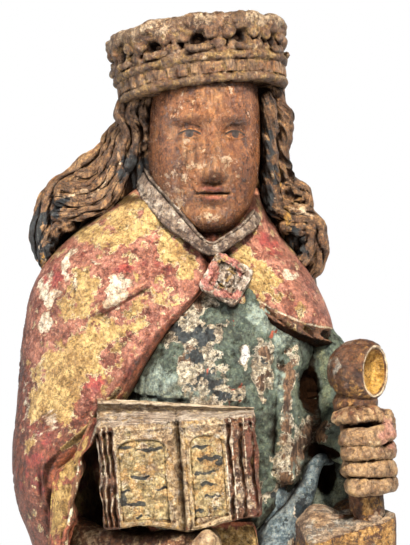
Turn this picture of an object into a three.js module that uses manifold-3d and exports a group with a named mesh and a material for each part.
// A saint carved from one block of wood: crown, long hair, mantle closed by a square clasp, tunic and
// skirt, an open book in the right hand, a sword held point down in the left, and a low base.
// Millimetres, +Z up, the figure faces -Y, and X grows towards its left hand. Origin: middle of the
// underside of the base.

import * as THREE from "three";
import { mergeVertices } from "three/addons/utils/BufferGeometryUtils.js";
import Module from "manifold-3d";

// Driving heights
const BASE_HEIGHT = 22;
const HEM = 20;
const CROWN_RIM = 532;

// Driving places, as [x, y, z]
const HEAD = [2, -12];
const CROWN = [-1, -8, CROWN_RIM];
const CLASP = [11.5, -50, 428];
const BOOK = [-13, -76, 329];
const GRIP = [83, -74];
const FIST_Z = 337;
const POMMEL = [82, -73, 380];
const GUARD = [77, -75, 297];

const wasm = await Module();
wasm.setup();

const radians = THREE.MathUtils.degToRad;
const clamp = THREE.MathUtils.clamp;
const lerp = THREE.MathUtils.lerp;

// 0 below the first bound, 1 above the second, smooth between.
function ease(low, high, t) {
  const s = clamp((t - low) / (high - low), 0, 1);
  return s * s * (3 - 2 * s);
}

// A round hump of height 1 and the given half width.
function hump(t, centre, halfWidth) {
  const s = (t - centre) / halfWidth;
  return Math.exp(-s * s);
}

// A smooth function through a few [place, value] pairs, in rising order of place, that never swings
// past the values it joins.
function through(pairs) {
  const rise = pairs.slice(1).map((p, i) => (p[1] - pairs[i][1]) / (p[0] - pairs[i][0]));
  const slope = pairs.map((p, i) => {
    if (i === 0) return rise[0];
    if (i === pairs.length - 1) return rise[i - 1];
    return rise[i - 1] * rise[i] <= 0 ? 0 : 2 / (1 / rise[i - 1] + 1 / rise[i]);
  });
  return (t) => {
    const at = clamp(t, pairs[0][0], pairs[pairs.length - 1][0]);
    let i = 0;
    while (i < pairs.length - 2 && at > pairs[i + 1][0]) i += 1;
    const span = pairs[i + 1][0] - pairs[i][0];
    const s = (at - pairs[i][0]) / span;
    const far = s * s * (3 - 2 * s);
    return (
      lerp(pairs[i][1], pairs[i + 1][1], far)
      + s * (1 - s) * (1 - s) * span * slope[i]
      - s * s * (1 - s) * span * slope[i + 1]
    );
  };
}

// Solids

// A closed three.js geometry as a manifold solid, with its faces turned outwards.
function solid(geometry) {
  const bare = geometry.index ? geometry.toNonIndexed() : geometry.clone();
  for (const name of Object.keys(bare.attributes)) {
    if (name !== "position") bare.deleteAttribute(name);
  }
  const merged = mergeVertices(bare, 1e-3);
  const kept = [];
  const index = merged.index.array;
  for (let i = 0; i < index.length; i += 3) {
    const [a, b, c] = [index[i], index[i + 1], index[i + 2]];
    if (a !== b && b !== c && a !== c) kept.push(a, b, c);
  }
  const build = (triangles) =>
    new wasm.Manifold(
      new wasm.Mesh({
        numProp: 3,
        vertProperties: merged.attributes.position.array,
        triVerts: new Uint32Array(triangles),
      }),
    );
  const made = build(kept);
  if (made.volume() > 0) return made;
  for (let i = 0; i < kept.length; i += 3) {
    [kept[i + 1], kept[i + 2]] = [kept[i + 2], kept[i + 1]];
  }
  return build(kept);
}

// Moves every point of a geometry by a function from (x, y, z) to [x, y, z].
function shaped(geometry, move) {
  const at = geometry.attributes.position;
  for (let i = 0; i < at.count; i += 1) {
    at.setXYZ(i, ...move(at.getX(i), at.getY(i), at.getZ(i)));
  }
  return geometry;
}

// A bent sheet: place(u, v, side) gives its outer face at side 1 and its inner face at side 0.
function panel(place, stepsU, stepsV) {
  return solid(
    shaped(new THREE.BoxGeometry(1, 1, 1, stepsU, stepsV, 1), (x, y, z) =>
      place(x + 0.5, 0.5 - y, z + 0.5),
    ),
  );
}

// A stack of rings: ring(angle, t) gives a point of the wall, t is 0 at the foot and 1 at the top.
// Angle 0 faces the viewer (-Y) and grows towards +X.
function stack(ring, middle, around, up) {
  return solid(
    shaped(new THREE.CylinderGeometry(1, 1, 1, around, up), (x, y, z) => {
      const t = y + 0.5;
      if (Math.hypot(x, z) < 1e-6) return middle(t);
      return ring(Math.atan2(x, z), t);
    }),
  );
}

// A ball with a radius for each axis, turned about the vertical by yaw degrees.
function ball([x, y, z], [rx, ry, rz], around = 12, up = 8, yaw = 0) {
  return solid(
    new THREE.SphereGeometry(1, around, up)
      .rotateX(Math.PI / 2)
      .scale(rx, ry, rz)
      .rotateZ(radians(yaw))
      .translate(x, y, z),
  );
}

// A tapered round-ended limb along a curve, flattened in the given direction.
function limb(points, radii, { around = 8, steps = 8, flat = 1, flatAxis = [0, 1, 0] } = {}) {
  const curve = new THREE.CatmullRomCurve3(points.map((p) => new THREE.Vector3(...p)));
  const radius = through(radii.map((r, i) => [i / (radii.length - 1), r]));
  const frames = curve.computeFrenetFrames(200, false);
  const flatten = new THREE.Vector3(...flatAxis).normalize();
  return solid(
    shaped(new THREE.SphereGeometry(1, around, steps + 4), (x, y, z) => {
      // The ball's latitude becomes the place along the curve, with round ends of two rings.
      const latitude = Math.acos(clamp(-y, -1, 1)) / Math.PI;
      const row = Math.round(latitude * (steps + 4));
      const t = clamp((row - 2) / steps, 0, 1);
      const over = row < 2 ? row - 2 : Math.max(row - steps - 2, 0);
      const cap = Math.cos((Math.abs(over) * Math.PI) / 4);
      const r = radius(t);
      const place = curve.getPointAt(t);
      const k = Math.min(Math.round(t * 200), 200);
      const length = Math.hypot(x, z) || 1;
      const offset = new THREE.Vector3()
        .addScaledVector(frames.normals[k], (x / length) * r * cap)
        .addScaledVector(frames.binormals[k], (z / length) * r * cap);
      offset.addScaledVector(flatten, offset.dot(flatten) * (flat - 1));
      const push = Math.sign(over) * Math.sin((Math.abs(over) * Math.PI) / 4) * r * 0.8;
      place.addScaledVector(frames.tangents[k], push).add(offset);
      return place.toArray();
    }),
  );
}

const joined = (solids) => solids.reduce((whole, next) => whole.add(next));

// Rounded-square ring about a centre: radius towards an angle, 0 at the front.
function ringRadius(angle, halfWidth, front, back, squareness) {
  const depth = Math.cos(angle) > 0 ? front : back;
  const across = Math.abs(Math.sin(angle) / halfWidth) ** squareness;
  const along = Math.abs(Math.cos(angle) / depth) ** squareness;
  return (across + along) ** (-1 / squareness);
}

// Base

function base() {
  const [x, y] = [98, 78];
  const corner = 26;
  const bevel = 2;
  const outline = new THREE.Shape([
    new THREE.Vector2(-x + corner, -y),
    new THREE.Vector2(x - corner, -y),
    new THREE.Vector2(x, -y + corner),
    new THREE.Vector2(x, y - corner),
    new THREE.Vector2(x - corner, y),
    new THREE.Vector2(-x + corner, y),
    new THREE.Vector2(-x, y - corner),
    new THREE.Vector2(-x, -y + corner),
  ]);
  return solid(
    new THREE.ExtrudeGeometry(outline, {
      depth: BASE_HEIGHT - 2 * bevel,
      bevelThickness: bevel,
      bevelSize: bevel,
      bevelOffset: -bevel,
      bevelSegments: 1,
    }).translate(0, 0, bevel),
  );
}

// Mantle

const mantleLeft = through([
  [20, -93], [100, -87], [180, -85], [250, -89], [285, -99], [300, -105], [318, -108],
  [335, -108.5], [350, -107], [390, -104.5], [418, -100], [436, -92], [452, -72], [464, -50], [474, -36],
]);
const mantleRight = through([
  [20, 92], [100, 86], [180, 82], [250, 80], [290, 81], [330, 80], [350, 73], [390, 71],
  [404, 69], [418, 66], [436, 57], [452, 45], [464, 38], [474, 34],
]);
const mantleFront = through([
  [20, 66], [120, 62], [240, 60], [290, 64], [330, 66], [370, 60], [400, 54], [425, 52],
  [445, 44], [460, 38], [474, 32],
]);
const mantleBack = through([
  [20, 60], [120, 55], [240, 57], [340, 60], [420, 58], [445, 50], [460, 40], [474, 32],
]);
const mantleSquare = through([[20, 3.6], [260, 3.4], [340, 2.8], [430, 2.3], [474, 2]]);
// Edges of the front opening, in degrees from straight ahead.
const openingLeft = through([
  [20, -44], [100, -44], [200, -47], [285, -48], [325, -48], [337, -43], [348, -35],
  [364, -27], [382, -18], [401, -4], [414, 10], [425, 21], [434, 26], [474, 15],
]);
const openingRight = through([
  [20, 42], [200, 44], [270, 48], [300, 62], [320, 92], [372, 97], [386, 88], [395, 61],
  [406, 45], [417, 37], [425, 33], [434, 29.5], [474, 18],
]);

function mantleFolds(angle, z) {
  const degrees = THREE.MathUtils.radToDeg(angle);
  const low = 1 - ease(240, 330, z);
  const back = Math.max(0, -Math.cos(angle));
  const hanging = Math.sin(angle * 11 + 0.6) * 2.6 * low * (0.6 + 0.4 * back);
  const broad = Math.sin(angle * 7 + 1) * 3 * back * (1 - ease(380, 430, z));
  // The forearm that carries the book pushes the cloth out at the right front.
  const elbow = 6 * hump(degrees, -50, 18) * hump(z, 325, 30);
  // Pulled folds run from the clasp down to the elbow.
  const pulled = Math.sin((z - 300 + (degrees + 70) * 1.35) / 7.5) * 1.8
    * hump(degrees, -42, 26) * ease(345, 375, z) * (1 - ease(405, 425, z));
  // The short left side stands clear of the tunic above the sword arm.
  const clear = 7 * hump(degrees, 62, 24) * hump(z, 402, 16);
  return hanging + broad + elbow + pulled + clear;
}

function mantlePoint(angle, z, inner) {
  const left = mantleLeft(z);
  const right = mantleRight(z);
  const r = ringRadius(angle, (right - left) / 2, mantleFront(z), mantleBack(z), mantleSquare(z));
  const reach = inner ? r * 0.42 : r + mantleFolds(angle, z);
  return [(left + right) / 2 + reach * Math.sin(angle), -reach * Math.cos(angle), z];
}

function mantle() {
  const heights = through([
    [0, 474], [0.07, 466], [0.13, 456], [0.19, 445], [0.26, 432], [0.34, 414], [0.5, 370],
    [0.68, 310], [0.8, 220], [1, HEM],
  ]);
  return panel(
    (u, v, side) => {
      const z = heights(v);
      const from = radians(openingLeft(z));
      const to = radians(openingRight(z) - 360);
      return mantlePoint(lerp(from, to, u), z, side < 0.5);
    },
    26,
    16,
  );
}

// The turned-back edge that falls from the forearm beside the book.
function lining() {
  return panel(
    (u, v, side) => {
      const z = lerp(352, 236, v);
      const width = 15 * hump(v, 0.42, 0.34) + 3;
      const x = through([[0, -57], [0.25, -72], [0.45, -79], [1, -73]])(v) + u * width;
      const y = through([[0, -62], [0.3, -64], [0.6, -64], [1, -54]])(v) + 2 * Math.sin(u * 5);
      return [x, side > 0.5 ? y - 3 : y + 24, z];
    },
    3,
    6,
  );
}

// Body under the mantle

// The heart of the block, so that no hollow is left between the layers of cloth.
function core() {
  const half = through([[30, 50], [400, 62], [440, 50], [460, 36]]);
  return stack(
    (angle, t) => {
      const z = lerp(30, 460, t);
      return [-14 + half(z) * Math.sin(angle), -36 * Math.cos(angle), z];
    },
    (t) => [-14, 0, lerp(30, 460, t)],
    10,
    6,
  );
}

const bodyFront = through([
  [20, 56], [150, 52], [290, 50], [330, 54], [380, 52], [420, 46], [440, 38], [470, 28],
]);
const bodyHalf = through([
  [20, 66], [150, 60], [290, 56], [330, 54], [380, 54], [420, 50], [440, 42], [470, 30],
]);
const bodyMiddle = through([[20, 0], [250, 2], [330, 6], [420, 6], [470, 4]]);

function skirt() {
  const top = 330;
  return stack(
    (angle, t) => {
      const z = lerp(HEM, top, t);
      const front = ease(-0.5, 0.2, Math.cos(angle));
      const folds = Math.sin(angle * 11 + 0.5 * Math.sin(t * 5)) * lerp(4.5, 1.5, t) * front;
      const r = ringRadius(angle, bodyHalf(z), bodyFront(z), 40, 2.4) + folds;
      return [bodyMiddle(z) + r * Math.sin(angle), -2 - r * Math.cos(angle), z];
    },
    (t) => [0, 0, lerp(HEM, top, t)],
    36,
    5,
  );
}

function tunic() {
  const top = 470;
  const hem = (angle) => 278 + 46 * ease(0.5, 1.15, angle) + 10 * ease(0.4, 1.4, -angle);
  return stack(
    (angle, t) => {
      const z = lerp(hem(angle), top, t);
      const blouse = 5 * hump(t, 0.06, 0.14) + 2.5;
      const pleats = Math.sin(angle * 8) * 1.6 * hump(angle, 0.95, 0.6) * (1 - t);
      const r = ringRadius(angle, bodyHalf(z), bodyFront(z), 36, 2.3) + blouse + pleats;
      return [bodyMiddle(z) + r * Math.sin(angle), -2 - r * Math.cos(angle), z];
    },
    (t) => [4, 0, lerp(290, top, t)],
    25,
    7,
  );
}

// The end of the mantle, drawn across the front below the book.
function apron() {
  const fromAngle = radians(-52);
  const toAngle = radians(50);
  return panel(
    (u, v, side) => {
      const angle = lerp(fromAngle, toAngle, u);
      const hem = 118 + 118 * ease(0.25, 1, u) + 26 * ease(0.3, 0, u);
      const z = lerp(296, hem, v);
      const sag = z + 34 * Math.cos((u - 0.42) * 2.6);
      const folds = Math.sin(sag / 7.6) * lerp(1, 4, Math.sin(Math.PI * v));
      const r = ringRadius(angle, bodyHalf(z) + 6, bodyFront(z) + 10, 40, 2.5);
      const reach = side > 0.5 ? r + folds : r - 22;
      return [bodyMiddle(z) + reach * Math.sin(angle), -2 - reach * Math.cos(angle), z];
    },
    12,
    8,
  );
}

// Head, neck and collar

const FACE_TURN = 8;
const faceHalf = through([
  [446, 13], [450, 18], [458, 24], [470, 29.5], [485, 32.5], [505, 33.5], [525, 33], [548, 30],
]);
const faceFront = through([
  [446, 22], [450, 33], [456, 38], [466, 40.5], [480, 41.5], [495, 42.5], [505, 42], [515, 43.5],
  [530, 42.5], [548, 36],
]);
const noseRise = through([
  [477, 0], [480, 7], [484, 10.5], [490, 8.6], [500, 5], [507, 2.8], [514, 1.6], [520, 0],
]);
const noseWidth = through([[477, 7.5], [484, 6.4], [492, 4.4], [507, 3.8], [520, 6]]);

// Height of the features above the plain front of the face.
function features(x, z) {
  const side = Math.abs(x);
  const spot = (x0, z0, wide, high) => hump(side, x0, wide) * hump(z, z0, high);
  return (
    noseRise(z) * Math.exp(-((side / noseWidth(z)) ** 2.4))
    + 1.8 * spot(14, 514.5, 13, 3.6)
    - 4.2 * spot(13, 505, 8.5, 6)
    + 3 * spot(13.2, 505, 5.6, 3.4)
    + 1.8 * spot(19, 486, 9, 9)
    + 2.2 * spot(0, 473.8, 9.5, 2.6)
    - 1.8 * spot(0, 470.8, 11, 1.5)
    + 2.6 * spot(0, 467.6, 7.5, 2.6)
    - 1.4 * spot(0, 462.4, 10, 2.6)
    + 2.6 * spot(0, 455.5, 9, 5)
  );
}

function head() {
  const [cx, cy] = HEAD;
  const turn = radians(FACE_TURN);
  const heights = through([[0, 446], [0.1, 451], [0.2, 457], [0.8, 514], [1, 548]]);
  return stack(
    (angle, t) => {
      const z = heights(t);
      const packed = angle - 0.5 * Math.sin(angle);
      const r = ringRadius(packed, faceHalf(z), faceFront(z), 30, 2.2);
      const x = r * Math.sin(packed);
      const y = -r * Math.cos(packed) - features(x, z) * ease(0.15, 0.6, Math.cos(packed));
      return [
        cx + x * Math.cos(turn) - y * Math.sin(turn),
        cy + x * Math.sin(turn) + y * Math.cos(turn),
        z,
      ];
    },
    (t) => [cx, cy, heights(t)],
    24,
    18,
  );
}

function neck() {
  const front = limb([[2, -4, 425], [2, -8, 450], [2, -6, 490]], [24, 22, 24], {
    around: 12, steps: 2,
  });
  return front.add(ball([0, 8, 468], [38, 31, 44], 10, 6));
}

function collar() {
  const path = [
    [-31, 12, 484], [-32, -14, 477], [-24, -34, 463], [-9, -47, 447], [5, -54, 438],
    [17, -48, 448], [29, -33, 461], [34, -10, 470], [32, 12, 478],
  ];
  return limb(path, [5, 6, 6, 6, 6, 6, 6, 6, 5], { around: 5, steps: 10 });
}

// Crown

const CROWN_LEAN = 7;
const CROWN_TIP = -4;

function crownPlaced(made) {
  return made.rotate([CROWN_TIP, -CROWN_LEAN, 0]).translate(CROWN);
}

function crown() {
  const fleurons = 12;
  const profile = [
    [41, 0], [46.5, 0], [48.5, 2.4], [47.6, 4.8], [48.8, 11], [51.4, 14.2], [49.4, 17.4],
    [50.6, 30], [47.5, 36], [41, 34], [41, 0],
  ].map(([r, z]) => new THREE.Vector2(r, z));
  const parts = [solid(new THREE.LatheGeometry(profile, 24).rotateX(Math.PI / 2))];
  for (let i = 0; i < fleurons; i += 1) {
    const angle = ((i + 0.5) * 2 * Math.PI) / fleurons;
    const at = (r, spread, z) => [
      r * Math.sin(angle + spread), -r * Math.cos(angle + spread), z,
    ];
    const yaw = THREE.MathUtils.radToDeg(angle);
    parts.push(ball(at(48.8, 0, 31), [5.4, 5, 5.6], 6, 4, yaw));
    parts.push(ball(at(49.4, 0, 23.4), [10.4, 4, 4.2], 6, 4, yaw));
  }
  return crownPlaced(joined(parts));
}

// The top of the head nearly fills the crown.
function headDome() {
  const z = (t) => lerp(-0.5, 38, t);
  const r = (t) => 44 * (1 - t ** 4) ** 0.25;
  return crownPlaced(
    stack(
      (angle, t) => [r(t) * Math.sin(angle), -r(t) * Math.cos(angle), z(t)],
      (t) => [0, 0, z(t)],
      22,
      5,
    ),
  );
}

// Hair

const hairMiddle = through([
  [380, -10], [425, -14], [445, -15], [462, -13], [480, -10], [495, -5], [510, -1], [540, 0],
]);
const hairHalf = through([
  [380, 34], [400, 58], [425, 78], [445, 82], [462, 77], [480, 66], [495, 54], [510, 47],
  [540, 44],
]);
const hairBack = through([[380, 22], [425, 30], [445, 32], [480, 34], [510, 36], [540, 34]]);
const hairDepth = through([[380, 42], [425, 32], [445, 26], [480, 16], [510, 8], [540, 4]]);

function hairMass() {
  return stack(
    (angle, t) => {
      const z = lerp(380, 540, t);
      const wave = Math.sin(angle * 12 + 2.4 * Math.sin(t * 9)) * 2.2;
      const r = ringRadius(angle, hairHalf(z), hairBack(z) * 0.8, hairBack(z), 2.2) + wave;
      return [hairMiddle(z) + r * Math.sin(angle), hairDepth(z) - r * Math.cos(angle), z];
    },
    (t) => [-8, hairDepth(lerp(380, 540, t)), lerp(380, 540, t)],
    24,
    8,
  );
}

function locks() {
  const strands = [
    // Right side of the head, out over the shoulder.
    [[[-41, -4, 534], [-44, 0, 515], [-54, 4, 500], [-71, 4, 488], [-86, 4, 470], [-94, 6, 442]],
      [8, 8, 10, 12, 11, 8]],
    [[[-38, -18, 532], [-41, -17, 510], [-49, -12, 490], [-64, -10, 474], [-80, -8, 458],
      [-87, -4, 438]], [6, 8, 9, 10, 9, 6]],
    [[[-32, -28, 528], [-35, -26, 507], [-39, -18, 486], [-47, -10, 468]], [4, 6, 6, 5]],
    // Left side, closer to the cheek and curled at the end.
    [[[40, -10, 534], [43, -8, 514], [43, -4, 500], [42, -2, 484], [53, 0, 471], [62, 2, 456],
      [64, 4, 440]], [5.5, 6, 7, 6, 9, 10, 7]],
    [[[35, -24, 530], [38, -22, 510], [37, -18, 490], [41, -14, 472], [50, -10, 458],
      [56, -6, 442]], [4, 6, 6, 6, 6, 5]],
  ];
  return joined(strands.map(([path, radii]) => limb(path, radii, { around: 6, steps: 6 })));
}

// Clasp

function clasp() {
  const side = 21;
  const edge = 3;
  const plate = solid(new THREE.BoxGeometry(side, side, 14));
  const inside = side - 2 * edge;
  const recess = solid(new THREE.BoxGeometry(inside, inside, 4).translate(0, 0, 7));
  return plate.subtract(recess)
    .add(ball([0, 0, 5], [4, 4, 3.2], 8, 5))
    .rotate([0, 0, -26])
    .rotate([80, 0, 0])
    .translate(CLASP);
}

// Book, open, its two pages swelling away from the fold

const pageSwell = through([[0, -2.5], [0.07, 0.6], [0.3, 3], [0.6, 3.2], [0.9, 1.6], [1, 0]]);

function book() {
  const half = [42, 27];
  const depth = 30;
  return solid(
    shaped(new THREE.BoxGeometry(2, 2, 1, 12, 1, 1), (x, y, z) => {
      const front = z > 0 ? depth / 2 + pageSwell(Math.abs(x)) : -depth / 2;
      // The bare top slopes down to the front, and the foot of the fold hangs lowest.
      const slope = y > 0.9 && z < 0 ? 7 : 0;
      const sag = y < -0.9 ? -5 * hump(x, 0.1, 0.35) : 0;
      return [x * half[0], y * half[1] + slope + sag, front];
    })
      .rotateZ(radians(2.3))
      .rotateX(radians(88))
      .translate(...BOOK),
  );
}

// Right hand, under the book

function bookHand() {
  return joined([
    limb([[-72, -40, 296], [-52, -62, 292], [-34, -76, 292]], [16, 14, 11], { around: 8, steps: 4 }),
    ball([-14, -78, 294], [24, 16, 9], 10, 6),
    limb([[2, -84, 292], [8, -97, 297], [14, -99, 306]], [6, 5.5, 4.6], { around: 6, steps: 4 }),
  ]);
}

// Sword arm

function sleeve() {
  return limb(
    [[46, 4, 405], [57, 2, 380], [68, -8, 356], [76, -36, 344], [82, -58, 340]],
    [20, 21, 20, 17, 14],
    { around: 10, steps: 6 },
  );
}

// The long fold of the tunic beside the sword arm.
function tunicRidge() {
  return limb(
    [[50, -30, 396], [51, -44, 372], [49, -50, 350], [46, -53, 330]],
    [5, 7, 7, 6],
    { around: 7, steps: 5 },
  );
}

function fist() {
  const pitch = 11;
  const fingers = [0, 1, 2, 3].map((i) => {
    const z = FIST_Z + (1.5 - i) * pitch;
    const tuck = i === 3 ? 1.5 : 0;
    return limb(
      [
        [95 - tuck, -60, z], [99 - tuck, -75, z], [93, -85, z], [82, -88, z - 0.6],
        [75 + tuck, -83, z - 1.4], [75, -75, z - 1.6],
      ],
      Array(5).fill(5.8),
      { around: 6, steps: 5 },
    );
  });
  const palm = ball([89, -65, FIST_Z], [13, 14, 23], 8, 6);
  const thumb = limb(
    [[92, -57, 350], [92, -69, 359], [87, -78, 362], [78, -82, 361]],
    [8, 7, 6, 5],
    { around: 6, steps: 4 },
  );
  return joined([palm, thumb, ...fingers]);
}

// Sword

function sword() {
  const [gx, gy] = GRIP;
  // The flat face of the pommel looks to the front left and holds a round dish.
  const ballWithDish = [
    [0, -17], [6.5, -15.7], [11.5, -12.5], [15.2, -7.6], [17, 0], [16.2, 5.2], [14, 9.6],
    [12.4, 10], [11, 6.4], [7.4, 3.4], [0, 2.2],
  ].map(([r, h]) => new THREE.Vector2(r, h));
  const pommel = solid(
    new THREE.LatheGeometry(ballWithDish, 16)
      .rotateX(Math.PI)
      .rotateZ(radians(56))
      .translate(...POMMEL),
  );
  const grip = solid(
    new THREE.CylinderGeometry(7, 10, 70, 10).rotateX(Math.PI / 2).translate(gx, gy, 333),
  );
  const bar = new THREE.Shape()
    .moveTo(-26, -8)
    .lineTo(16, -8)
    .absarc(16, 0, 8, -Math.PI / 2, Math.PI / 2)
    .lineTo(-26, 8);
  const guard = solid(
    new THREE.ExtrudeGeometry(bar, {
      depth: 11, curveSegments: 6, bevelThickness: 2.5, bevelSize: 2, bevelSegments: 1,
    })
      .translate(0, 0, -5.5)
      .rotateZ(radians(18))
      .translate(...GUARD),
  );
  const bladeTop = [80, -72, 296];
  const bladeFoot = [76, -60, HEM];
  const blade = shaped(new THREE.CylinderGeometry(1, 1, 1, 4, 6), (x, y, z) => {
    const t = 0.5 - y;
    const wide = lerp(12, 8, t) * (t > 0.93 ? 0.6 : 1);
    return [
      lerp(bladeTop[0], bladeFoot[0], t) + x * wide,
      lerp(bladeTop[1], bladeFoot[1], t) - z * 5,
      lerp(bladeTop[2], bladeFoot[2], t),
    ];
  });
  // A fold of the mantle backs the blade down to the base.
  const backing = limb(
    [[78, -48, 286], [78, -46, 160], [76, -40, HEM + 2]],
    [14, 13, 14],
    { around: 8, steps: 3 },
  );
  return joined([pommel, grip, guard, solid(blade), backing]);
}

// Shoes

function shoes() {
  return joined([
    ball([-24, -52, HEM + 4], [13, 22, 10], 10, 6, 8),
    ball([26, -52, HEM + 4], [13, 22, 10], 10, 6, -8),
  ]);
}

const carving = joined([
  base(), core(), mantle(), lining(), skirt(), tunic(), apron(), head(), neck(), collar(), headDome(), hairMass(),
  locks(), crown(), clasp(), book(), bookHand(), sleeve(), tunicRidge(), fist(), sword(), shoes(),
]);

function geometryOf(made) {
  const mesh = made.getMesh();
  const points = new Float32Array(mesh.numVert * 3);
  for (let i = 0; i < mesh.numVert; i += 1) {
    points.set(mesh.vertProperties.subarray(i * mesh.numProp, i * mesh.numProp + 3), i * 3);
  }
  const geometry = new THREE.BufferGeometry();
  geometry.setAttribute("position", new THREE.BufferAttribute(points, 3));
  geometry.setIndex(new THREE.BufferAttribute(mesh.triVerts, 1));
  geometry.computeVertexNormals();
  return geometry;
}

const paintedWood = new THREE.MeshStandardMaterial({
  color: 0x8a4a3a, roughness: 0.62, metalness: 0,
});
const saint = new THREE.Mesh(geometryOf(carving), paintedWood);
saint.name = "saint_figure";

const statue = new THREE.Group();
statue.add(saint);

export default statue;
